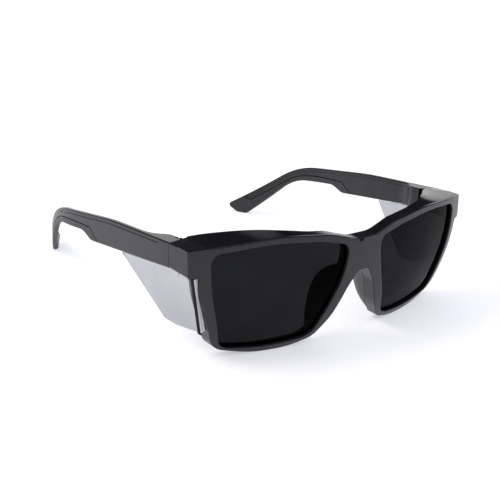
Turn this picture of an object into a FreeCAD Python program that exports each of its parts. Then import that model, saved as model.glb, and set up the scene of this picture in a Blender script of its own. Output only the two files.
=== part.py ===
"""Safety glasses: a full-rim front with a brow guard, clear side shields and two folding temples.

The front faces -Y, the temple tips point to +Y, +X is the wearer's left and +Z is up. The glasses stand on
a table at Z = 0 on their rims and temple tips. Lengths are millimetres.
"""
import FreeCAD, Part
import functools
import math
import os
from FreeCAD import Placement, Rotation, Vector

DIMENSIONS = {
    # the curved front
    "plan_radius": 183.0,
    "section_radius": 89.0,
    "section_height": 35.6,
    "rim_depth": 5.5,
    "seam_depth": 1.3,
    "front_side": 73.2,
    "rim_edge_radius": 0.4,
    # lenses
    "lens_setback": 1.5,
    "lens_thickness": 2.2,
    "lens_groove": 0.6,
    "fit_gap": 0.05,
    # brow guard
    "guard_thickness": 1.4,
    "guard_depth_bridge": 4.7,
    "guard_depth_side": 14.8,
    "guard_half_width": 65.75,
    "guard_widens_from": 36.0,
    "guard_widens_to": 64.0,
    "guard_rise_least": 0.1,
    "guard_rise_most": 1.7,
    "guard_rise_at": 45.0,
    "guard_rise_spread": 14.0,
    # end pieces, split and hinge
    "end_inner": 65.8,
    "end_edge_radius": 0.6,
    "end_crown_front": 1.1,
    "end_crown_rear": 0.8,
    "roof_top": 45.6,
    "seam_width": 0.25,
    "seam_sink": 0.3,
    "split_at": 28.2,
    "split_gap": 0.2,
    "pivot_side": 67.4,
    "pivot_back": 31.2,
    "knuckle_radius": 1.6,
    "knuckle_pocket": 1.85,
    "knuckle_length": 1.9,
    "knuckle_gap": 0.05,
    "hinge_low": 37.3,
    "leaf_thickness": 1.0,
    "leaf_reach": 7.0,
    "anchor_extra": 0.3,
    "leaf_slot_gap": 0.01,
    "tab_room": 0.75,
    "notch_width": 4.0,
    "notch_low": 30.0,
    "notch_height": 25.0,
    "screw_radius": 0.7,
    "screw_bore": 0.75,
    "screw_head_radius": 1.3,
    "screw_head_height": 0.8,
    # temples
    "temple_thickness": 2.4,
    "temple_bend_start": 102.0,
    "temple_bend_radius": 104.0,
    "temple_end": 166.0,
    "taper_start": 36.0,
    "taper_end": 51.0,
    "temple_edge_radius": 0.6,
    "line_width": 0.45,
    "line_depth": 0.35,
    "grip_seam": 0.3,
    "core_thickness": 0.9,
    "core_inset": 1.6,
    "core_root": 1.0,
    # side shields
    "shield_thickness": 1.2,
    "shield_lean": 12.66,
    "shield_flare": 3.3,
    "shield_top_side": 70.5,
    "shield_top_height": 33.0,
    "shield_gap": 0.4,
    "shield_front": 14.5,
    "shield_front_slope": 0.0615,
    "flange_depth": 1.7,
    "flange_width": 2.0,
    "flange_groove": 0.55,
    "flange_groove_depth": 0.3,
    "seal_width": 1.9,
    "seal_sunk": 0.5,
    "seal_proud": 0.15,
    "seal_setback": 0.1,
    "seal_hang": 1.0,
    "tongue_thickness": 1.0,
    "tongue_length": 7.0,
    "tongue_height": 4.0,
    "tongue_start": 18.0,
    "tongue_low": 34.0,
    "tongue_inset": 0.1,
    # nose pads
    "pad_depth": 10.3,
    "pad_splay": 0.22,
    "pad_base": 4.4,
    "pad_lip": 2.2,
    "pad_bedding": 0.6,
    # half the overall depth, which puts the origin under the middle of the glasses
    "half_depth": 80.14,
}

document = FreeCAD.newDocument("safety_glasses")
sheet = document.addObject("Spreadsheet::Sheet", "dimensions")
for row, (alias, number) in enumerate(DIMENSIONS.items(), start=1):
    sheet.set(f"A{row}", alias)
    sheet.set(f"B{row}", str(number))
    sheet.setAlias(f"B{row}", alias)
document.recompute()


def size(alias):
    """One driving dimension, read from the sheet."""
    return float(sheet.get(alias))


def smooth_step(share):
    """0 below a share of 0, 1 above 1, and an S-shaped rise between them."""
    share = min(max(share, 0.0), 1.0)
    return share * share * (3.0 - 2.0 * share)


# ---------------------------------------------------------------------------------------------------------
# Flat outlines
# ---------------------------------------------------------------------------------------------------------

def in_front_plane(across, height):
    return Vector(across, 0, height)


def in_side_plane(back, height):
    return Vector(0, back, height)


def in_plan_plane(across, back):
    return Vector(across, back, 0)


def rounded_wire(corners, plane):
    """A closed wire through (a, b, radius) corners, each corner rounded to its radius."""
    starts, ends, arcs = [], [], []
    count = len(corners)
    for number, (a, b, radius) in enumerate(corners):
        before = corners[number - 1]
        after = corners[(number + 1) % count]
        corner = plane(a, b)
        to_before = (plane(before[0], before[1]) - corner).normalize()
        to_after = (plane(after[0], after[1]) - corner).normalize()
        if radius == 0:
            starts.append(corner)
            ends.append(corner)
            arcs.append(None)
            continue
        half_angle = to_before.getAngle(to_after) / 2
        reach = radius / math.tan(half_angle)
        start = corner + to_before * reach
        end = corner + to_after * reach
        middle = corner + (to_before + to_after).normalize() * (radius / math.sin(half_angle) - radius)
        starts.append(start)
        ends.append(end)
        arcs.append(Part.Arc(start, middle, end).toShape())
    edges = []
    for number in range(count):
        if arcs[number]:
            edges.append(arcs[number])
        following = starts[(number + 1) % count]
        next_corner = plane(*corners[(number + 1) % count][:2])
        this_corner = plane(*corners[number][:2])
        if (following - ends[number]).dot(next_corner - this_corner) < -1e-9:
            raise ValueError(f"corner {number} of an outline has too large a radius: {corners[number]}")
        if ends[number].distanceToPoint(following) > 1e-6:
            edges.append(Part.makeLine(ends[number], following))
    return Part.Wire(edges)


def plate(wire, direction, start):
    """The wire filled and pushed along direction, beginning at start times direction's unit length."""
    face = Part.Face(wire)
    shifted = face.translated(Vector(direction).normalize() * start)
    return shifted.extrude(direction)


def mirrored(corners):
    """The same corners on the other side of the middle plane, in the opposite order."""
    return [(-a, b, radius) for a, b, radius in reversed(corners)]


# Half of the front's outline: top of the bridge, brow line, outer corner, step under the end piece,
# outer rim side, foot, nose side and nose arch.
FRONT_HALF = [
    (6.0, 44.1, 12), (17.0, 47.4, 14), (38.0, 49.3, 100), (73.2, 46.2, 0), (73.2, 36.0, 0.9),
    (69.5, 36.0, 0.3), (68.8, 29.0, 50), (61.0, 4.5, 9), (44.0, 0.0, 50),
    (29.0, 0.0, 40), (18.2, 2.8, 7), (12.0, 11.6, 25), (6.9, 24.0, 12), (2.6, 30.5, 4),
]
# One lens opening, wearer's left.
OPENING = [
    (19.6, 3.9, 7.5), (38.0, 2.3, 90), (58.0, 4.6, 5.5), (64.8, 30.0, 60), (65.4, 44.4, 4.5),
    (42.0, 46.9, 90), (22.0, 45.3, 50), (8.2, 42.2, 4.2), (9.6, 31.0, 50),
]
# The temple seen from the side: top line, ear bend, tip, foot land, underside of the hook, step of the grip
# and underside.
TEMPLE_SIDE = [
    (28.4, 45.8, 0), (72.0, 41.6, 200), (122.6, 33.1, 48), (161.6, 3.6, 1.8), (156.2, 0.0, 3.0),
    (151.5, 0.0, 1.5), (124.5, 25.6, 30), (96.0, 29.8, 10), (88.6, 27.3, 6), (28.4, 35.9, 0),
]
# The flat panel on the temple's sides, below the rounded top edge, running past the temple's own outline.
PANEL_TOP = [(72.0, 40.2, 200), (121.9, 31.7, 47), (172.0, -6.5, 0), (172.0, -20.0, 0)]
OUTER_PANEL = [(20.0, 45.2, 0)] + PANEL_TOP + [(20.0, -20.0, 0)]
INNER_PANEL = [(30.5, 44.2, 1.8)] + PANEL_TOP + [(32.5, -20.0, 0), (32.5, 33.0, 0)]
# Where the line on the outer face starts and how long it is.
OUTER_LINE = (36.0, 83.0)
# The rubber grip's region in the same view, running past the temple's own outline.
GRIP_REGION = [
    (76.7, 25.0, 0), (89.0, 33.1, 1.2), (108.0, 31.3, 80), (122.0, 28.6, 30), (149.2, 8.4, 2.0),
    (156.0, 12.0, 0), (178.0, 26.0, 0), (178.0, -8.0, 0), (76.7, -8.0, 0),
]


def front_outline_wire():
    return rounded_wire(FRONT_HALF + mirrored(FRONT_HALF), in_front_plane)


def opening_wire(grow=0.0):
    wire = rounded_wire(OPENING, in_front_plane)
    return wire.makeOffset2D(grow) if grow else wire


@functools.lru_cache(maxsize=None)
def brow_height(across):
    """Height of the front's top edge at a distance from the middle plane."""
    upright = Part.makeLine(Vector(abs(across), 0, 40), Vector(abs(across), 0, 60))
    return upright.common(Part.Face(front_outline_wire())).BoundBox.ZMax


# ---------------------------------------------------------------------------------------------------------
# The curved front
# ---------------------------------------------------------------------------------------------------------

def front_surface(across, height):
    """How far back the front's outer surface lies."""
    plan = size("plan_radius")
    section = size("section_radius")
    rise = height - size("section_height")
    swept = section - math.sqrt(section ** 2 - rise ** 2)
    return plan - math.sqrt((plan - swept) ** 2 - across ** 2)


def curved_slab(near, far):
    """The space between two copies of the front surface, near and far millimetres behind it."""
    plan = size("plan_radius")
    section = size("section_radius")
    middle = size("section_height")
    low, high = -4.0, 54.0

    def section_arc(depth):
        def point(height):
            return Vector(0, depth + section - math.sqrt(section ** 2 - (height - middle) ** 2), height)
        return Part.Arc(point(low), point(middle), point(high)).toShape()

    front, back = section_arc(near), section_arc(far)
    sides = [Part.makeLine(front.Vertexes[side].Point, back.Vertexes[side].Point) for side in (0, 1)]
    face = Part.Face(Part.Wire(Part.__sortEdges__([front, back] + sides)))
    half_sweep = 26.0
    axis_point = Vector(0, plan, 0)
    face.rotate(axis_point, Vector(0, 0, 1), -half_sweep)
    return face.revolve(axis_point, Vector(0, 0, 1), 2 * half_sweep)


def guard_rear(across):
    """How far back the brow guard's rear edge lies."""
    across = abs(across)
    start = size("guard_widens_from")
    grown = smooth_step((across - start) / (size("guard_widens_to") - start))
    depth = size("guard_depth_bridge") + grown * (size("guard_depth_side") - size("guard_depth_bridge"))
    return front_surface(across, brow_height(across)) + depth


def guard_rise(across):
    """How much higher the guard's rear edge is than its front edge."""
    share = (abs(across) - size("guard_rise_at")) / size("guard_rise_spread")
    return size("guard_rise_least") + size("guard_rise_most") * math.exp(-share ** 2)


def guard_solid(grow=0.0):
    """The brow guard, lofted through upright sections from one end piece to the other."""
    half_width = size("guard_half_width") + grow
    stations = 28
    sections = []
    for number in range(stations + 1):
        across = half_width * (2.0 * number / stations - 1.0)
        front = front_surface(across, brow_height(across)) + size("seam_depth") - grow
        rear = guard_rear(across) + grow
        top = brow_height(across)
        low = top - size("guard_thickness") - grow
        rear_top = top + guard_rise(across)
        corners = [
            (front, low), (rear, low + guard_rise(across)), (rear, rear_top + 3.0 * grow),
            (front, top + 3.0 * grow),
        ]
        points = [Vector(across, back, height) for back, height in corners]
        sections.append(Part.makePolygon(points + points[:1]))
    return Part.makeLoft(sections, True, False)


def end_section(across, rise_front, rise_rear):
    """The end piece's section at a distance from the middle plane, its top raised at either end."""
    corners = [
        (4.0, 47.3 + rise_front, 0), (31.2, 45.6 + rise_rear, 0), (31.2, 35.9, 0), (4.0, 36.2, 0),
    ]
    return rounded_wire(corners, in_side_plane).translated(Vector(across, 0, 0))


def end_piece_solid():
    """The block at the wearer's left outer corner that carries the hinge.

    Its top rises towards the middle, and behind the split only a small roof over the knuckles is left.
    """
    outer_section = end_section(size("front_side"), 0, 0)
    inner_section = end_section(size("end_inner"), size("end_crown_front"), size("end_crown_rear"))
    block = Part.makeLoft([outer_section, inner_section], True, True)
    outline = plate(front_outline_wire(), Vector(0, 60, 0), -5)
    split = size("split_at")
    roof_side = size("pivot_side") - size("fit_gap")
    roof_low = size("hinge_low") + hinge_height() + size("fit_gap")
    behind = Part.makeBox(20, 20, 80, Vector(roof_side, split, 0))
    below = Part.makeBox(20, 20, roof_low, Vector(size("end_inner") - 1, split, 0))
    above = Part.makeBox(20, 20, 20, Vector(size("end_inner") - 1, split, size("roof_top")))
    block = block.common(curved_slab(0, 40)).common(outline).cut(behind).cut(below).cut(above)
    outer = [edge for edge in block.Edges if is_outer_edge(edge)]
    return block.makeFillet(size("end_edge_radius"), outer)


def top_seam():
    """The fine seam along the front's top, between the front plate and the mouldings behind it."""
    depth = size("seam_depth")
    side = size("front_side") - 2 * size("end_edge_radius")
    above = Part.makeBox(2 * side, 40, 20, Vector(-side, 0, 40))
    sunk = plate(front_outline_wire(), Vector(0, 60, 0), -5).translated(Vector(0, 0, -size("seam_sink")))
    return curved_slab(depth - size("seam_width"), depth + size("fit_gap")).common(above).cut(sunk)


def is_outer_edge(edge):
    """Whether an edge of the end piece bounds its outer side, apart from the edge at the split."""
    ends = [vertex.Point for vertex in edge.Vertexes]
    on_side = all(abs(point.x - size("front_side")) < 0.01 for point in ends)
    return on_side and not all(point.y > size("split_at") - 0.01 for point in ends)


def hinge_slot():
    """The slot that a leaf's anchor plate sits in, from the end piece's rear face forwards."""
    gap = size("fit_gap")
    return Part.makeBox(
        size("leaf_thickness") + 2 * gap, size("leaf_reach") + 2 * gap, hinge_height() + 2 * gap,
        Vector(leaf_side() - gap, size("split_at") - size("leaf_reach") - gap,
               size("hinge_low") - gap),
    )


def leaf_side():
    """The side of the leaves that faces the middle plane."""
    return size("pivot_side") - 0.4 * size("leaf_thickness")


def hinge_height():
    return 3 * size("knuckle_length") + 2 * size("knuckle_gap")


def both_sides(solid):
    """The solid together with its copy on the wearer's other side."""
    return [solid, solid.mirror(Vector(0, 0, 0), Vector(1, 0, 0))]


def build_front_frame():
    outline = plate(front_outline_wire(), Vector(0, 60, 0), -5)
    frame = curved_slab(0, size("rim_depth")).common(outline)
    for side in both_sides(plate(opening_wire(), Vector(0, 60, 0), -5)):
        frame = frame.cut(side)
    frame = round_front_edges(frame)
    end = end_piece_solid()
    frame = frame.fuse(both_sides(end))
    gap = size("fit_gap")
    groove = curved_slab(size("lens_setback") - gap, size("lens_setback") + size("lens_thickness") + gap)
    groove = groove.common(plate(opening_wire(size("lens_groove")), Vector(0, 60, 0), -5))
    for side in both_sides(groove) + both_sides(hinge_slot()) + both_sides(shield_tongue(gap)):
        frame = frame.cut(side)
    frame = frame.cut(top_seam()).cut(guard_solid(gap))
    for side in both_sides(shield_recess(gap)):
        frame = frame.cut(side)
    return frame.removeSplitter()


def on_front_surface(point):
    return abs(front_surface(point.x, point.z) - point.y) < 0.02


def round_front_edges(frame):
    edges = [
        edge for edge in frame.Edges
        if all(on_front_surface(edge.valueAt(edge.FirstParameter + share *
               (edge.LastParameter - edge.FirstParameter))) for share in (0.0, 0.5, 1.0))
    ]
    return frame.makeFillet(size("rim_edge_radius"), edges)


def build_brow_guard():
    return guard_solid()


def build_lens():
    inset = size("lens_groove") - size("fit_gap")
    slab = curved_slab(size("lens_setback"), size("lens_setback") + size("lens_thickness"))
    return slab.common(plate(opening_wire(inset), Vector(0, 60, 0), -5))


# ---------------------------------------------------------------------------------------------------------
# Side shields
# ---------------------------------------------------------------------------------------------------------

def lean(shape):
    """Turns a piece modelled upright at X = 0 into the shield's plane, leaning inwards and flaring rearwards."""
    top = Vector(size("shield_top_side"), 0, size("shield_top_height"))
    upright = shape.translated(Vector(top.x, 0, 0))
    upright.rotate(top, Vector(0, 1, 0), size("shield_lean"))
    upright.rotate(Vector(top.x, size("shield_front"), 0), Vector(0, 0, 1), -size("shield_flare"))
    return upright


SHIELD_TOP = 38.0
FLANGE_LOW = 12.0


def front_edge(height):
    """How far back the shield's front edge lies; it follows the rim, further back lower down."""
    return size("shield_front") + size("shield_front_slope") * (SHIELD_TOP - height)


def shield_wire():
    """The shield's outline in its own plane: its top, rear edge, foot and front edge."""
    corners = [
        (front_edge(SHIELD_TOP), SHIELD_TOP, 0), (71.0, SHIELD_TOP, 0), (62.2, 29.8, 40), (39.8, 9.0, 4),
        (32.2, 9.0, 8), (front_edge(12.1), 12.1, 1.0),
    ]
    return rounded_wire(corners, in_side_plane)


def front_strip(near, far, low):
    """The outline of a strip along the shield's front edge, from near to far behind that edge."""
    corners = [(front_edge(low) + near, low, 0), (front_edge(SHIELD_TOP) + near, SHIELD_TOP, 0),
               (front_edge(SHIELD_TOP) + far, SHIELD_TOP, 0), (front_edge(low) + far, low, 0)]
    return rounded_wire(corners, in_side_plane)


def flange_bar(grow):
    """The thick bar along the shield's front edge, which lies in a recess in the rim's side."""
    wire = front_strip(-grow, size("flange_depth") + grow, FLANGE_LOW - grow)
    return upright_bar(wire, size("flange_width") + 2 * grow, grow)


def shield_recess(grow):
    """The room for the shield's front edge in the rim's side."""
    thickness = size("shield_thickness") + 2 * grow
    return upright_bar(shield_wire(), thickness, grow).fuse(flange_bar(grow)).common(room_under_temple(grow))


def build_shield():
    """The clear plate with its front flange and the tongue that holds it in the end piece."""
    wall = upright_bar(shield_wire(), size("shield_thickness"), 0)
    shield = wall.fuse(flange_bar(0)).common(room_under_temple(0)).fuse(shield_tongue(0)).removeSplitter()
    groove = front_strip(-1.0, size("flange_groove_depth"), FLANGE_LOW + 1.0)
    groove_inset = (size("flange_width") + size("flange_groove")) / 2
    shield = shield.cut(upright_bar(groove, size("flange_groove"), size("flange_groove") - groove_inset))
    return shield.cut(seal_bar(size("fit_gap")))


def upright_bar(wire, thickness, outer):
    """A bar of the shield: the wire thickened inwards from its outer side, then leant over."""
    return lean(plate(wire, Vector(thickness, 0, 0), outer - thickness))


def room_under_temple(grow):
    """The space below the end piece and the temple, less the shield's gap."""
    gap = size("shield_gap") - grow
    step = FRONT_HALF[4][1]
    under_split = TEMPLE_SIDE[-1]
    grip_step = TEMPLE_SIDE[-2]
    under = rounded_wire(
        [(0.0, 0.0, 0), (grip_step[0], 0.0, 0), (grip_step[0], grip_step[1] - gap, 0),
         (under_split[0], under_split[1] - gap, 0), (0.0, step - gap, 0)], in_side_plane)
    return plate(under, Vector(40, 0, 0), 50)


def shield_tongue(grow):
    """The tongue on the shield's top edge that plugs into the underside of the end piece."""
    thickness = size("tongue_thickness")
    inner = size("shield_top_side") - size("tongue_inset") - thickness
    return Part.makeBox(
        thickness + 2 * grow, size("tongue_length") + 2 * grow, size("tongue_height") + grow,
        Vector(inner - grow, size("tongue_start") - grow, size("tongue_low")),
    )


def seal_bar(grow):
    """The dark strip let into the shield's outer face, over the joint with its front flange."""
    start = size("seal_setback")
    wire = front_strip(start - grow, start + size("seal_width") + grow, FLANGE_LOW - size("seal_hang") - grow)
    return upright_bar(wire, size("seal_proud") + size("seal_sunk") + grow, size("seal_proud"))


def build_seal():
    return seal_bar(0).common(room_under_temple(0))


# ---------------------------------------------------------------------------------------------------------
# Temples
# ---------------------------------------------------------------------------------------------------------

def plan_band(outer_inset=0.0, inner_inset=0.0):
    """The temple seen from above: a straight thick front, a taper, and a long inward bend."""
    outer = size("front_side") - outer_inset
    inner = size("front_side") - size("temple_thickness") + inner_inset
    bend = size("temple_bend_start")
    end = size("temple_end")
    centre = size("front_side") - size("temple_bend_radius")

    def bend_point(side, back):
        radius = side - centre
        return Vector(centre + math.sqrt(radius ** 2 - (back - bend) ** 2), back, 0)

    def bend_arc(side):
        middle = (bend + end) / 2
        return Part.Arc(bend_point(side, bend), bend_point(side, middle), bend_point(side, end)).toShape()

    front = size("split_at") - 4.0
    thick = size("end_inner") + inner_inset
    taper_start = size("taper_start")
    taper_end = size("taper_end")
    outer_arc = bend_arc(outer)
    inner_arc = bend_arc(inner)
    taper = Part.BSplineCurve()
    taper.interpolate(
        Points=[Vector(thick, taper_start, 0),
                Vector(thick + 0.62 * (inner - thick), taper_start + 0.42 * (taper_end - taper_start), 0),
                Vector(inner, taper_end, 0)],
        InitialTangent=Vector(0, 1, 0), FinalTangent=Vector(0, 1, 0),
    )
    edges = [
        Part.makeLine(Vector(outer, front, 0), Vector(outer, bend, 0)),
        outer_arc,
        Part.makeLine(bend_point(outer, end), bend_point(inner, end)),
        inner_arc,
        Part.makeLine(Vector(inner, bend, 0), Vector(inner, taper_end, 0)),
        taper.toShape(),
        Part.makeLine(Vector(thick, taper_start, 0), Vector(thick, front, 0)),
        Part.makeLine(Vector(thick, front, 0), Vector(outer, front, 0)),
    ]
    return Part.Wire(Part.__sortEdges__(edges))


def temple_band(outer_inset=0.0, inner_inset=0.0):
    return plate(plan_band(outer_inset, inner_inset), Vector(0, 0, 80), -10)


def temple_outline(grow=0.0):
    """The temple's side outline pushed across the whole band."""
    wire = rounded_wire(TEMPLE_SIDE, in_side_plane)
    if grow:
        wire = wire.makeOffset2D(grow)
    return plate(wire, Vector(60, 0, 0), 30)


def temple_blank():
    """The temple before its cuts, with all its long edges rounded."""
    blank = temple_outline().common(temple_band())
    past_split = size("split_at") + 1.0
    edges = [edge for edge in blank.Edges if runs_lengthwise(edge) and edge.BoundBox.YMax > past_split]
    return blank.makeFillet(size("temple_edge_radius"), edges)


def runs_lengthwise(edge):
    """Whether an edge lies along the temple, and not across its thickness or up its front end."""
    first, last = (edge.valueAt(end) for end in (edge.FirstParameter, edge.LastParameter))
    return abs(first.y - last.y) > 0.5 and edge.Length > 0.6


def grip_region(grow=0.0):
    wire = rounded_wire(GRIP_REGION, in_side_plane)
    if grow:
        wire = wire.makeOffset2D(grow)
    return plate(wire, Vector(60, 0, 0), 30)


def grip_core():
    """The thin tongue of the temple that the rubber grip is moulded over."""
    wall = (size("temple_thickness") - size("core_thickness")) / 2
    return temple_outline(-size("core_inset")).common(temple_band(wall, wall))


def panel_line(corners):
    """The fine groove around a panel, through the whole temple."""
    wire = rounded_wire(corners, in_side_plane)
    inside = wire.makeOffset2D(-size("line_width"))
    return plate(wire, Vector(60, 0, 0), 30).cut(plate(inside, Vector(80, 0, 0), 20))


def panel_grooves():
    """The grooves under the top edge: along the outer face, and around the inner face's panel."""
    depth = size("line_depth")
    outer = panel_line(OUTER_PANEL).cut(temple_band(depth, -1.0))
    start, length = OUTER_LINE
    outer = outer.common(Part.makeBox(60, length, 60, Vector(30, start, 0)))
    inner = panel_line(INNER_PANEL).cut(temple_band(-1.0, depth))
    return outer.fuse(inner)


def hinge_clearance():
    """What the temple leaves free for the front leaf's knuckles and for its own turning."""
    side, back = size("pivot_side"), size("pivot_back")
    hair = size("leaf_slot_gap")
    low = size("hinge_low") - size("screw_head_height") - 2 * size("knuckle_gap")
    top = size("hinge_low") + hinge_height() + 2 * size("knuckle_gap")
    under = size("notch_low")
    width = size("notch_width")
    bore = Part.makeCylinder(size("knuckle_pocket"), top - under, Vector(side, back, under))
    ahead = back - size("split_at") + 1.0
    notch = Part.makeBox(width, size("knuckle_pocket") + size("knuckle_gap") + ahead, size("notch_height"),
                         Vector(side - width, back - ahead, under))
    tab_room = Part.makeBox(size("tab_room"), ahead, top - low, Vector(side, back - ahead, low))
    middle = size("hinge_low") + size("knuckle_length") + size("knuckle_gap")
    anchor = Part.makeBox(
        size("leaf_thickness") + 2 * hair, size("leaf_reach") - 1.0 + size("anchor_extra") + hair,
        size("knuckle_length") + 2 * hair, Vector(leaf_side() - hair, back + 1.0, middle - hair),
    )
    return notch.fuse([bore, tab_room, anchor])


def build_temple():
    blank = temple_blank()
    front_cut = Part.makeBox(80, 40, 80, Vector(30, size("split_at") + size("split_gap") - 40, -10))
    temple = blank.cut(front_cut).cut(panel_grooves())
    temple = temple.cut(grip_region(size("grip_seam")))
    temple = temple.fuse(grip_core().common(grip_region(size("core_root"))))
    return temple.cut(hinge_clearance()).removeSplitter()


def build_grip():
    return temple_blank().common(grip_region()).cut(grip_core())


# ---------------------------------------------------------------------------------------------------------
# Nose pads
# ---------------------------------------------------------------------------------------------------------

# How deep the nose pad reaches back at each height, as a share of its full depth.
PAD_DEPTHS = [
    (5.2, 0.06), (7.5, 0.32), (11.0, 0.62), (15.5, 0.86), (20.0, 0.98), (24.0, 1.0), (27.5, 0.9), (30.2, 0.55),
]


def nose_side(height):
    """How far from the middle plane the rim's nose side lies at a height."""
    across = Part.makeLine(Vector(0, 0, height), Vector(40, 0, height))
    return across.common(Part.Face(front_outline_wire())).BoundBox.XMin


def build_nose_pad():
    """The soft pad behind the nose side of the rim: a curved wing, deepest near its top."""
    sections = []
    for height, share in PAD_DEPTHS:
        depth = share * size("pad_depth")
        base = nose_side(height)
        back = front_surface(base, height) + size("rim_depth") - size("pad_bedding")
        splay = size("pad_splay") * depth
        lip = size("pad_lip")
        corners = [
            Vector(base, back, height), Vector(base + 0.35 * splay, back + 0.55 * depth, height),
            Vector(base + splay, back + depth, height), Vector(base + splay + lip, back + depth, height),
            Vector(base + splay + lip, back + 0.5 * depth, height),
            Vector(base + size("pad_base"), back, height),
        ]
        sections.append(Part.makePolygon(corners + corners[:1]))
    wing = Part.makeLoft(sections, True, False)
    return wing.cut(curved_slab(-size("fit_gap"), size("rim_depth") + size("fit_gap")))


# ---------------------------------------------------------------------------------------------------------
# Document objects
# ---------------------------------------------------------------------------------------------------------

PARTS = []


def finished(piece, label):
    """Names a finished sub-part and notes it for the checks and the files."""
    piece.Label = label
    PARTS.append(piece)
    return piece


def add_shape(label, shape):
    """A sub-part whose shape comes from code, placed with the origin under the middle of the glasses."""
    piece = document.addObject("Part::Feature", label)
    piece.Shape = shape
    piece.Placement = Placement(Vector(0, -size("half_depth"), 0), Rotation())
    return finished(piece, label)


def add_shape_pair(name, shape):
    add_shape(f"{name}_left", shape)
    add_shape(f"{name}_right", shape.mirror(Vector(0, 0, 0), Vector(1, 0, 0)))


def bind(piece, **formulas):
    """Binds a piece's sizes and place to formulas over the sheet."""
    for name, formula in formulas.items():
        path = {"x": "Placement.Base.x", "y": "Placement.Base.y", "z": "Placement.Base.z"}.get(name, name)
        piece.setExpression(path, formula)
    return piece


def box(name, length, width, height, x, y, z):
    piece = document.addObject("Part::Box", name)
    return bind(piece, Length=length, Width=width, Height=height, x=x, y=y, z=z)


def cylinder(name, radius, height, z):
    """An upright cylinder on the hinge axis."""
    piece = document.addObject("Part::Cylinder", name)
    return bind(piece, Radius=radius, Height=height, x=PIVOT_X, y=PIVOT_Y, z=z)


def joined(name, pieces):
    piece = document.addObject("Part::MultiFuse", name)
    piece.Shapes = pieces
    return piece


def less(name, base, tool):
    piece = document.addObject("Part::Cut", name)
    piece.Base = base
    piece.Tool = tool
    return piece


def hardware_pair(name, left):
    """Keeps the wearer's left piece and its mirror image."""
    finished(left, f"{name}_left")
    right = document.addObject("Part::Mirroring", f"{name}_right")
    right.Source = left
    right.Normal = Vector(1, 0, 0)
    finished(right, f"{name}_right")


PIVOT_X = "dimensions.pivot_side"
PIVOT_Y = "dimensions.pivot_back - dimensions.half_depth"
SPLIT_Y = "dimensions.split_at - dimensions.half_depth"
LEAF_X = "dimensions.pivot_side - 0.4 * dimensions.leaf_thickness"
LOW = "dimensions.hinge_low"
LENGTH = "dimensions.knuckle_length"
STEP = "(dimensions.knuckle_length + dimensions.knuckle_gap)"
FULL = "(3 * dimensions.knuckle_length + 2 * dimensions.knuckle_gap)"
LEAF = "dimensions.leaf_thickness"
REACH = "dimensions.leaf_reach"
TAB = "dimensions.pivot_back - dimensions.split_at"
KNUCKLE = "dimensions.knuckle_radius"
HEAD = "dimensions.screw_head_height"


def add_front_leaves():
    """The leaf set in the end piece, with the upper and lower knuckles."""
    solid = joined("front_leaf_solid", [
        box("front_anchor", LEAF, REACH, FULL, LEAF_X, f"{SPLIT_Y} - {REACH}", LOW),
        box("low_tab", LEAF, TAB, LENGTH, LEAF_X, SPLIT_Y, LOW),
        box("high_tab", LEAF, TAB, LENGTH, LEAF_X, SPLIT_Y, f"{LOW} + 2 * {STEP}"),
        cylinder("low_knuckle", KNUCKLE, LENGTH, LOW),
        cylinder("high_knuckle", KNUCKLE, LENGTH, f"{LOW} + 2 * {STEP}"),
    ])
    bore = cylinder("front_leaf_bore", "dimensions.screw_bore", f"{FULL} + 2", f"{LOW} - 1")
    hardware_pair("hinge_front_leaf", less("front_leaf", solid, bore))


def add_temple_leaves():
    """The leaf set in the temple, with the middle knuckle."""
    solid = joined("temple_leaf_solid", [
        box("temple_anchor", LEAF, f"{REACH} + dimensions.anchor_extra", LENGTH, LEAF_X, PIVOT_Y,
            f"{LOW} + {STEP}"),
        cylinder("middle_knuckle", KNUCKLE, LENGTH, f"{LOW} + {STEP}"),
    ])
    bore = cylinder("temple_leaf_bore", "dimensions.screw_bore", f"{LENGTH} + 2", f"{LOW} + {STEP} - 1")
    hardware_pair("hinge_temple_leaf", less("temple_leaf", solid, bore))


def add_screws():
    """The hinge screw, driven in from below, with a slotted head."""
    solid = joined("screw_solid", [
        cylinder("screw_shaft", "dimensions.screw_radius", FULL, LOW),
        cylinder("screw_head", "dimensions.screw_head_radius", HEAD, f"{LOW} - {HEAD}"),
    ])
    slot = box("screw_slot", "2 * dimensions.screw_head_radius + 1", "0.35", "0.35",
               f"{PIVOT_X} - dimensions.screw_head_radius - 0.5", f"{PIVOT_Y} - 0.175", f"{LOW} - {HEAD}")
    hardware_pair("hinge_screw", less("screw", solid, slot))


def add_all():
    add_shape("front_frame", build_front_frame())
    add_shape("brow_guard", build_brow_guard())
    add_shape_pair("lens", build_lens())
    add_shape_pair("nose_pad", build_nose_pad())
    add_shape_pair("side_shield", build_shield())
    add_shape_pair("shield_seal", build_seal())
    add_shape_pair("temple", build_temple())
    add_shape_pair("temple_grip", build_grip())
    add_front_leaves()
    add_temple_leaves()
    add_screws()


def check(piece):
    """Stops the build when a sub-part failed or is not a sound solid."""
    if "Invalid" in piece.State or "Error" in piece.State:
        raise RuntimeError(f"{piece.Label} failed: {piece.State}")
    if piece.Shape.isNull() or not piece.Shape.isValid() or not piece.Shape.Solids:
        raise RuntimeError(f"{piece.Label} has no valid solid")


def write_parts():
    os.makedirs("parts", exist_ok=True)
    for piece in PARTS:
        piece.Shape.exportStep(f"parts/{piece.Label}.step")
        print(piece.Label, len(piece.Shape.Solids), "solid", round(piece.Shape.Volume, 1), "mm3")


add_all()
document.recompute()
for item in document.Objects:
    if item.isDerivedFrom("Part::Feature"):
        check(item)
write_parts()
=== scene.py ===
"""Safety glasses in a pale studio. The CAD meshes stay as they are, and the soft parts are separate pieces.

The front faces -Y, the temple tips point to +Y, +X is the wearer's left and +Z is up. Lengths are metres.
"""
import math

import bpy
from mathutils import Matrix, Vector


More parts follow.
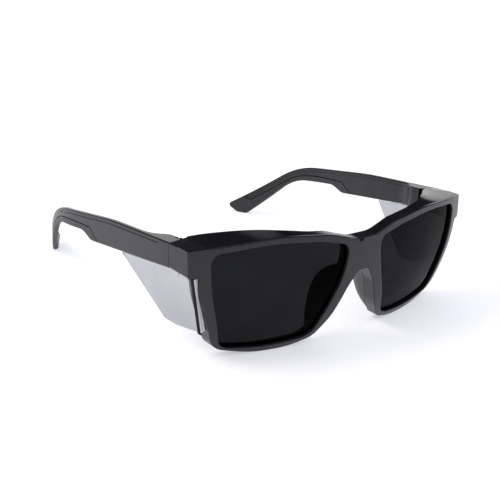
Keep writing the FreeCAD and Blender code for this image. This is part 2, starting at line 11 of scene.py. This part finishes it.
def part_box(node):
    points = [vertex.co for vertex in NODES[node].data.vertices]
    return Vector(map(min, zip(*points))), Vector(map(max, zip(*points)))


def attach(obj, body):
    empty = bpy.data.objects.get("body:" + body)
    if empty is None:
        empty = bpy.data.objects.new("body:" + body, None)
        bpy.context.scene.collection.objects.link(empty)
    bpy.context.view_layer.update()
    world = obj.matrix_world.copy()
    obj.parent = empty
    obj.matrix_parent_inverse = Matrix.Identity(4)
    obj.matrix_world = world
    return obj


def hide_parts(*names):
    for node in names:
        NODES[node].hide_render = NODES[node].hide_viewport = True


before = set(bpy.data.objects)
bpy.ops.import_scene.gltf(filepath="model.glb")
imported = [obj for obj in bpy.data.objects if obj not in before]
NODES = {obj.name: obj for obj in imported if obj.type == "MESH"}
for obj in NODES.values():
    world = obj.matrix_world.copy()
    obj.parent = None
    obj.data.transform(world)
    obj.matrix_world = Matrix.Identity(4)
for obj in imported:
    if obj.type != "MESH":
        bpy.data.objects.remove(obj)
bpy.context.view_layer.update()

MM = 0.001
SIDES = ("left", "right")

# The flange of a side shield: how far it reaches back, how far it comes forward per unit of height, and how
# much of it is painted light, a grey diffuse standing in for the light piped along the clear edge.
FLANGE_DEPTH = 1.7 * MM
FLANGE_SLOPE = 0.0615
FLANGE_PAINTED_LIGHT = 0.85

# The middle range of a noise, where nearly all of its values lie.
NOISE_LOW = 0.3
NOISE_HIGH = 0.7

# The upward part of a face's normal, up to which the face counts as upright and from which as upward.
UPRIGHT = 0.15
UPWARD = 0.5

# The moulded grain of the nylon parts, and how much glossier they are where they face upwards.
NYLON_GRAIN = 0.16 * MM
NYLON_GRAIN_DEPTH = 0.002 * MM
NYLON_POLISH = 0.4

# Tessellated points nearer than this are one point.
JOIN_DISTANCE = 0.002 * MM

# The colours of the studio as mirrored surfaces show it, and the elevations in degrees where they change.
SWEEP = (0.95, 0.95, 0.97, 1)
WALL = (0.03, 0.03, 0.033, 1)
CEILING = (0.95, 0.95, 1.0, 1)
SWEEP_TOP = 12.5
WALL_FOOT = 17.5
WALL_TOP = 52.0
CEILING_EDGE = 66.0


# ---------------------------------------------------------------------------------------------------------
# Materials
# ---------------------------------------------------------------------------------------------------------

class Graph:
    """A material's node graph, with short ways to add the nodes used here."""

    def __init__(self, name):
        self.material = bpy.data.materials.new(name)
        self.material.use_nodes = True
        self.tree = self.material.node_tree
        self.shader = self.tree.nodes["Principled BSDF"]
        self.place = self.node("ShaderNodeTexCoord").outputs["Object"]

    def node(self, kind, **values):
        made = self.tree.nodes.new(kind)
        for name, value in values.items():
            setattr(made, name, value)
        return made

    def link(self, output, target):
        self.tree.links.new(output, target)

    def noise(self, size, detail=2.0):
        """Noise whose blobs are about size metres across."""
        made = self.node("ShaderNodeTexNoise")
        made.inputs["Scale"].default_value = 1.0 / size
        made.inputs["Detail"].default_value = detail
        self.link(self.place, made.inputs["Vector"])
        return made.outputs["Fac"]

    def cells(self, size):
        """Rounded cells about size metres across, as in a spark-eroded mould."""
        made = self.node("ShaderNodeTexVoronoi", feature="SMOOTH_F1")
        made.inputs["Scale"].default_value = 1.0 / size
        self.link(self.place, made.inputs["Vector"])
        return made.outputs["Distance"]

    def spread(self, source, low, high):
        """A noise's middle range mapped onto low to high."""
        made = self.node("ShaderNodeMapRange")
        made.inputs["From Min"].default_value = NOISE_LOW
        made.inputs["From Max"].default_value = NOISE_HIGH
        made.inputs["To Min"].default_value = low
        made.inputs["To Max"].default_value = high
        self.link(source, made.inputs["Value"])
        return made.outputs["Result"]

    def upward(self, below, above):
        """A value that goes from below on upright faces to above on faces turned upwards."""
        parts = self.node("ShaderNodeSeparateXYZ")
        self.link(self.node("ShaderNodeNewGeometry").outputs["Normal"], parts.inputs["Vector"])
        made = self.node("ShaderNodeMapRange")
        made.inputs["From Min"].default_value = UPRIGHT
        made.inputs["From Max"].default_value = UPWARD
        made.inputs["To Min"].default_value = below
        made.inputs["To Max"].default_value = above
        self.link(parts.outputs["Z"], made.inputs["Value"])
        return made.outputs["Result"]

    def scaled(self, first, second):
        """The product of two values."""
        made = self.node("ShaderNodeMath", operation="MULTIPLY")
        self.link(first, made.inputs[0])
        self.link(second, made.inputs[1])
        return made.outputs["Value"]

    def tint(self, source, dark, light):
        """A colour that drifts between two tints as the noise changes."""
        made = self.node("ShaderNodeValToRGB")
        made.color_ramp.elements[0].position = NOISE_LOW
        made.color_ramp.elements[1].position = NOISE_HIGH
        made.color_ramp.elements[0].color = (*dark, 1.0)
        made.color_ramp.elements[1].color = (*light, 1.0)
        self.link(source, made.inputs["Fac"])
        return made.outputs["Color"]

    def bump(self, source, depth):
        """Raises the surface by up to depth where the source is high."""
        made = self.node("ShaderNodeBump")
        made.inputs["Distance"].default_value = depth
        made.inputs["Strength"].default_value = 1.0
        self.link(source, made.inputs["Height"])
        self.link(made.outputs["Normal"], self.shader.inputs["Normal"])

    def set(self, **values):
        """Sets the shader's inputs, whose names have underscores here instead of spaces."""
        for name, value in values.items():
            self.shader.inputs[name.replace("_", " ")].default_value = value


def moulded_plastic(name, dark, light, roughness, grain, grain_depth, polish=1.0):
    """Injection-moulded nylon: a slow drift in tint and gloss over a fine moulded grain.

    Where it faces upwards its roughness is multiplied by polish.
    """
    graph = Graph(name)
    drift = graph.noise(9.0 * MM, detail=3.0)
    graph.link(graph.tint(drift, dark, light), graph.shader.inputs["Base Color"])
    gloss = graph.spread(graph.noise(2.5 * MM, detail=4.0), low=roughness * 0.92, high=roughness * 1.08)
    graph.link(graph.scaled(gloss, graph.upward(1.0, polish)), graph.shader.inputs["Roughness"])
    graph.bump(graph.cells(grain), depth=grain_depth)
    graph.set(IOR=1.5, Specular_IOR_Level=0.40)
    return graph.material


def rubber(name, dark, light, roughness, specular=0.45):
    """Soft rubber: matt, with a fine even grain and a weak, spread-out shine."""
    graph = Graph(name)
    drift = graph.noise(4.0 * MM, detail=3.0)
    graph.link(graph.tint(drift, dark, light), graph.shader.inputs["Base Color"])
    gloss = graph.spread(graph.noise(1.5 * MM), low=roughness - 0.05, high=roughness + 0.05)
    graph.link(gloss, graph.shader.inputs["Roughness"])
    graph.bump(graph.noise(0.22 * MM, detail=1.0), depth=0.02 * MM)
    graph.set(Specular_IOR_Level=specular)
    return graph.material


def clear_plastic(name, dark, light, roughness, haze, ior):
    """Tinted polycarbonate: the tint drifts slightly, and shadows pass through it."""
    graph = Graph(name)
    drift = graph.noise(12.0 * MM)
    colour = graph.tint(drift, dark, light)
    graph.link(colour, graph.shader.inputs["Base Color"])
    gloss = graph.spread(graph.noise(3.0 * MM), low=roughness, high=roughness + haze)
    graph.link(gloss, graph.shader.inputs["Roughness"])
    graph.set(Transmission_Weight=1.0, IOR=ior)
    path = graph.node("ShaderNodeLightPath")
    see_through = graph.node("ShaderNodeBsdfTransparent")
    graph.link(colour, see_through.inputs["Color"])
    mix = graph.node("ShaderNodeMixShader")
    output = graph.tree.nodes["Material Output"]
    graph.link(path.outputs["Is Shadow Ray"], mix.inputs["Fac"])
    graph.link(graph.shader.outputs["BSDF"], mix.inputs[1])
    graph.link(see_through.outputs["BSDF"], mix.inputs[2])
    graph.link(mix.outputs["Shader"], output.inputs["Surface"])
    return graph.material


def steel(name, shade, roughness):
    """Nickel-plated steel with fine turning marks."""
    graph = Graph(name)
    marks = graph.noise(0.3 * MM, detail=3.0)
    dark = [shade] * 3
    light = [shade * 1.15] * 3
    graph.link(graph.tint(marks, dark, light), graph.shader.inputs["Base Color"])
    gloss = graph.spread(marks, low=roughness * 0.8, high=roughness * 1.3)
    graph.link(gloss, graph.shader.inputs["Roughness"])
    graph.bump(graph.noise(0.1 * MM), depth=0.005 * MM)
    graph.set(Metallic=1.0)
    return graph.material


def dress(node, material):
    """Gives a CAD node its finish."""
    obj = NODES[node]
    obj.data.materials.clear()
    obj.data.materials.append(material)
    return obj


# ---------------------------------------------------------------------------------------------------------
# Modifiers
# ---------------------------------------------------------------------------------------------------------

def join_faces(obj):
    """Joins the tessellated faces where they meet."""
    weld = obj.modifiers.new("join_faces", "WELD")
    weld.merge_threshold = JOIN_DISTANCE


def soften_edges(obj, width):
    """Rounds the sharp edges, as a mould leaves them."""
    join_faces(obj)
    bevel = obj.modifiers.new("round_edges", "BEVEL")
    bevel.width = width
    bevel.segments = 3
    bevel.limit_method = "ANGLE"
    bevel.angle_limit = math.radians(35.0)
    bevel.use_clamp_overlap = True
    bevel.harden_normals = False
    bevel.miter_outer = "MITER_ARC"
    normals = obj.modifiers.new("even_shading", "WEIGHTED_NORMAL")
    normals.keep_sharp = False
    normals.mode = "FACE_AREA"


def apply_modifiers(piece):
    """Bakes the piece's modifiers into its mesh."""
    bpy.context.view_layer.update()
    graph = bpy.context.evaluated_depsgraph_get()
    baked = bpy.data.meshes.new_from_object(piece.evaluated_get(graph))
    piece.modifiers.clear()
    piece.data = baked


# ---------------------------------------------------------------------------------------------------------
# Soft parts
# ---------------------------------------------------------------------------------------------------------

def remeshed_copy(node, name, voxel, smoothing, swell):
    """A soft version of a CAD solid: an even skin, relaxed edges and a little swell to keep its size."""
    mesh = NODES[node].data.copy()
    mesh.name = name
    piece = bpy.data.objects.new(name, mesh)
    bpy.context.collection.objects.link(piece)
    join_faces(piece)
    skin = piece.modifiers.new("even_skin", "REMESH")
    skin.mode = "VOXEL"
    skin.voxel_size = voxel
    skin.use_smooth_shade = True
    relax = piece.modifiers.new("relax_edges", "SMOOTH")
    relax.factor = 0.5
    relax.iterations = smoothing
    grow = piece.modifiers.new("swell", "DISPLACE")
    grow.strength = swell
    grow.mid_level = 0.0
    apply_modifiers(piece)
    return piece


def soft_piece(node, name, body, material, voxel, smoothing, swell):
    """Shows a soft version of a CAD node in its place, riding on the body it is fixed to."""
    piece = remeshed_copy(node, name, voxel, smoothing, swell)
    piece.data.materials.clear()
    piece.data.materials.append(material)
    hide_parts(node)
    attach(piece, body)


# ---------------------------------------------------------------------------------------------------------
# The studio
# ---------------------------------------------------------------------------------------------------------

def add_floor():
    """A white light table, lit from within so that the shadows on it are pale."""
    half = 3.0
    corners = [(-half, -half, 0), (half, -half, 0), (half, half, 0), (-half, half, 0)]
    mesh = bpy.data.meshes.new("floor")
    mesh.from_pydata(corners, [], [(0, 1, 2, 3)])
    floor = bpy.data.objects.new("floor", mesh)
    bpy.context.collection.objects.link(floor)
    graph = Graph("floor_white")
    drift = graph.noise(120.0 * MM)
    shade = graph.tint(drift, dark=(0.60, 0.60, 0.605), light=(0.62, 0.62, 0.62))
    graph.link(shade, graph.shader.inputs["Base Color"])
    graph.set(Roughness=0.9, Specular_IOR_Level=0.1)
    graph.set(Emission_Color=(0.96, 0.96, 1.0, 1.0), Emission_Strength=0.42)
    mesh.materials.append(graph.material)


def add_world():
    """Even light on surfaces and white behind them; mirrored, a bright ceiling over dark walls."""
    world = bpy.data.worlds.new("studio")
    bpy.context.scene.world = world
    world.use_nodes = True
    tree = world.node_tree
    background = tree.nodes["Background"]
    path = tree.nodes.new("ShaderNodeLightPath")
    place = tree.nodes.new("ShaderNodeTexCoord")
    parts = tree.nodes.new("ShaderNodeSeparateXYZ")
    tree.links.new(place.outputs["Generated"], parts.inputs["Vector"])
    ramp = tree.nodes.new("ShaderNodeValToRGB")
    tree.links.new(parts.outputs["Z"], ramp.inputs["Fac"])
    stops = ramp.color_ramp.elements
    stops.remove(stops[1])
    stops[0].position = 0.0
    stops[0].color = SWEEP
    bands = ((SWEEP_TOP, SWEEP), (WALL_FOOT, WALL), (WALL_TOP, WALL), (CEILING_EDGE, CEILING))
    for elevation, colour in bands:
        stops.new(math.sin(math.radians(elevation))).color = colour
    # A ray bent by a lens counts as glossy too, and has to see the even light.
    mirrored = tree.nodes.new("ShaderNodeMath")
    mirrored.operation = "SUBTRACT"
    tree.links.new(path.outputs["Is Glossy Ray"], mirrored.inputs[0])
    tree.links.new(path.outputs["Is Transmission Ray"], mirrored.inputs[1])
    mirrored.use_clamp = True
    mix = tree.nodes.new("ShaderNodeMix")
    mix.data_type = "RGBA"
    mix.inputs["A"].default_value = (1.03, 1.04, 1.16, 1)
    tree.links.new(mirrored.outputs["Value"], mix.inputs["Factor"])
    tree.links.new(ramp.outputs["Color"], mix.inputs["B"])
    tree.links.new(mix.outputs["Result"], background.inputs["Color"])
    background.inputs["Strength"].default_value = 1.0


def area_light(name, place, target, width, height, power, colour):
    """A rectangular lamp at place, turned towards the target."""
    light = bpy.data.lights.new(name, "AREA")
    light.shape = "RECTANGLE"
    light.size = width
    light.size_y = height
    light.energy = power
    light.color = colour
    lamp = bpy.data.objects.new(name, light)
    lamp.location = place
    aim = (Vector(target) - Vector(place)).to_track_quat("-Z", "Y")
    lamp.rotation_euler = aim.to_euler()
    bpy.context.collection.objects.link(lamp)
    return lamp


def add_camera():
    """A short telephoto view from the wearer's front right, a little above."""
    azimuth = math.radians(-38.63)
    elevation = math.radians(20.65)
    roll = math.radians(-3.15)
    distance = 415.0 * MM
    slide = 5.40 * MM
    lift = 11.22 * MM
    right = Vector((math.cos(azimuth), math.sin(azimuth), 0))
    level = math.cos(elevation)
    back = Vector((math.sin(azimuth) * level, -math.cos(azimuth) * level, math.sin(elevation)))
    up = back.cross(right)
    tilted_right = right * math.cos(roll) - up * math.sin(roll)
    tilted_up = right * math.sin(roll) + up * math.cos(roll)
    place = back * distance + tilted_right * slide + tilted_up * lift
    lens = bpy.data.cameras.new("camera")
    lens.sensor_width = 36.0
    lens.lens = 63.17
    lens.clip_start = 0.01
    lens.clip_end = 20.0
    camera = bpy.data.objects.new("camera", lens)
    turn = Matrix((tilted_right, tilted_up, back)).transposed().to_4x4()
    camera.matrix_world = Matrix.Translation(place) @ turn
    bpy.context.collection.objects.link(camera)
    bpy.context.scene.camera = camera


def add_studio():
    """The table, the surroundings, a soft key light that leaves no mirror image, and the camera."""
    add_floor()
    add_world()
    key = area_light("key", place=(-0.9, 0.5, 1.1), target=(0, 0, 0), width=0.6, height=0.6, power=9.0,
                     colour=(1.0, 0.98, 0.78))
    key.visible_glossy = False
    add_camera()
    view = bpy.context.scene.view_settings
    view.view_transform = "Standard"
    view.look = "None"


# ---------------------------------------------------------------------------------------------------------
# The glasses
# ---------------------------------------------------------------------------------------------------------

def dress_front():
    """Grained nylon on the front, and a glossier guard."""
    front = moulded_plastic("front_nylon", dark=(0.006, 0.0062, 0.0066), light=(0.009, 0.0092, 0.0098),
                            roughness=0.30, grain=NYLON_GRAIN, grain_depth=NYLON_GRAIN_DEPTH,
                            polish=NYLON_POLISH)
    guard = moulded_plastic("guard_gloss", dark=(0.004, 0.004, 0.0045), light=(0.006, 0.006, 0.0065),
                            roughness=0.12, grain=0.4 * MM, grain_depth=0.0004 * MM)
    dress("front_frame", front)
    dress("brow_guard", guard)


def dress_temples():
    """The temples' nylon, a little lighter than the front's."""
    plastic = moulded_plastic("temple_nylon", dark=(0.008, 0.0082, 0.0088), light=(0.011, 0.0112, 0.012),
                              roughness=0.32, grain=NYLON_GRAIN, grain_depth=NYLON_GRAIN_DEPTH,
                              polish=NYLON_POLISH)
    for side in SIDES:
        dress(f"temple_{side}", plastic)


def painted_flange_light(material, rear_edge):
    """Paints light on the front flange: a grey diffuse stands in for light piped along the clear edge.

    The rear edge is given at the table's height, and comes forward with height as the flange does.
    """
    tree = material.node_tree
    output = tree.nodes["Material Output"]
    clear = output.inputs["Surface"].links[0].from_socket
    place = tree.nodes.new("ShaderNodeTexCoord")
    parts = tree.nodes.new("ShaderNodeSeparateXYZ")
    tree.links.new(place.outputs["Object"], parts.inputs["Vector"])
    slope = tree.nodes.new("ShaderNodeMath")
    slope.operation = "MULTIPLY_ADD"
    slope.inputs[1].default_value = FLANGE_SLOPE
    tree.links.new(parts.outputs["Z"], slope.inputs[0])
    tree.links.new(parts.outputs["Y"], slope.inputs[2])
    ahead = tree.nodes.new("ShaderNodeMath")
    ahead.operation = "LESS_THAN"
    ahead.inputs[1].default_value = rear_edge
    tree.links.new(slope.outputs["Value"], ahead.inputs[0])
    share = tree.nodes.new("ShaderNodeMath")
    share.operation = "MULTIPLY"
    share.inputs[1].default_value = FLANGE_PAINTED_LIGHT
    tree.links.new(ahead.outputs["Value"], share.inputs[0])
    # Painted light: a grey diffuse that stands in for the light piped along the clear flange.
    painted_light = tree.nodes.new("ShaderNodeBsdfDiffuse")
    painted_light.inputs["Color"].default_value = (0.62, 0.62, 0.66, 1)
    mix = tree.nodes.new("ShaderNodeMixShader")
    tree.links.new(share.outputs["Value"], mix.inputs["Fac"])
    tree.links.new(clear, mix.inputs[1])
    tree.links.new(painted_light.outputs["BSDF"], mix.inputs[2])
    tree.links.new(mix.outputs["Shader"], output.inputs["Surface"])


def dress_optics():
    """Smoke lenses, and clear side shields with painted light on the front flange."""
    smoke = clear_plastic("smoke_lens", dark=(0.0125, 0.013, 0.014), light=(0.0155, 0.016, 0.0175),
                          roughness=0.02, haze=0.01, ior=1.06)
    clear = clear_plastic("clear_shield", dark=(0.44, 0.44, 0.46), light=(0.49, 0.49, 0.51),
                          roughness=0.03, haze=0.03, ior=1.4)
    # The front flange of each shield gets painted light, standing in for the light piped along its clear
    # edge.
    low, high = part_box("side_shield_left")
    painted_flange_light(clear, low.y + FLANGE_SLOPE * high.z + FLANGE_DEPTH)
    for side in SIDES:
        dress(f"lens_{side}", smoke)
        soften_edges(dress(f"side_shield_{side}", clear), width=0.12 * MM)


def dress_hinges():
    """Dark plated leaves and slightly brighter screws."""
    leaf = steel("hinge_steel", shade=0.16, roughness=0.36)
    screw = steel("screw_steel", shade=0.24, roughness=0.28)
    for side in SIDES:
        dress(f"hinge_front_leaf_{side}", leaf)
        dress(f"hinge_temple_leaf_{side}", leaf)
        dress(f"hinge_screw_{side}", screw)


def add_soft_parts():
    """The grips on the temples, the nose pads, and the strips along the shields."""
    grip = rubber("grip_rubber", dark=(0.011, 0.0112, 0.012), light=(0.014, 0.0142, 0.0155), roughness=0.42)
    pad = rubber("pad_rubber", dark=(0.014, 0.014, 0.015), light=(0.018, 0.018, 0.020), roughness=0.42)
    seal = rubber("seal_rubber", dark=(0.003, 0.003, 0.0035), light=(0.004, 0.004, 0.0045), roughness=0.6,
                  specular=0.1)
    for side in SIDES:
        soft_piece(f"temple_grip_{side}", f"earpiece_grip_{side}", f"{side}_temple", grip,
                   voxel=0.3 * MM, smoothing=3, swell=0.04 * MM)
        soft_piece(f"nose_pad_{side}", f"soft_nose_pad_{side}", "front", pad,
                   voxel=0.25 * MM, smoothing=12, swell=0.12 * MM)
        soft_piece(f"shield_seal_{side}", f"shield_strip_{side}", "front", seal,
                   voxel=0.15 * MM, smoothing=2, swell=0.03 * MM)


dress_front()
dress_temples()
dress_optics()
dress_hinges()
add_soft_parts()
add_studio()
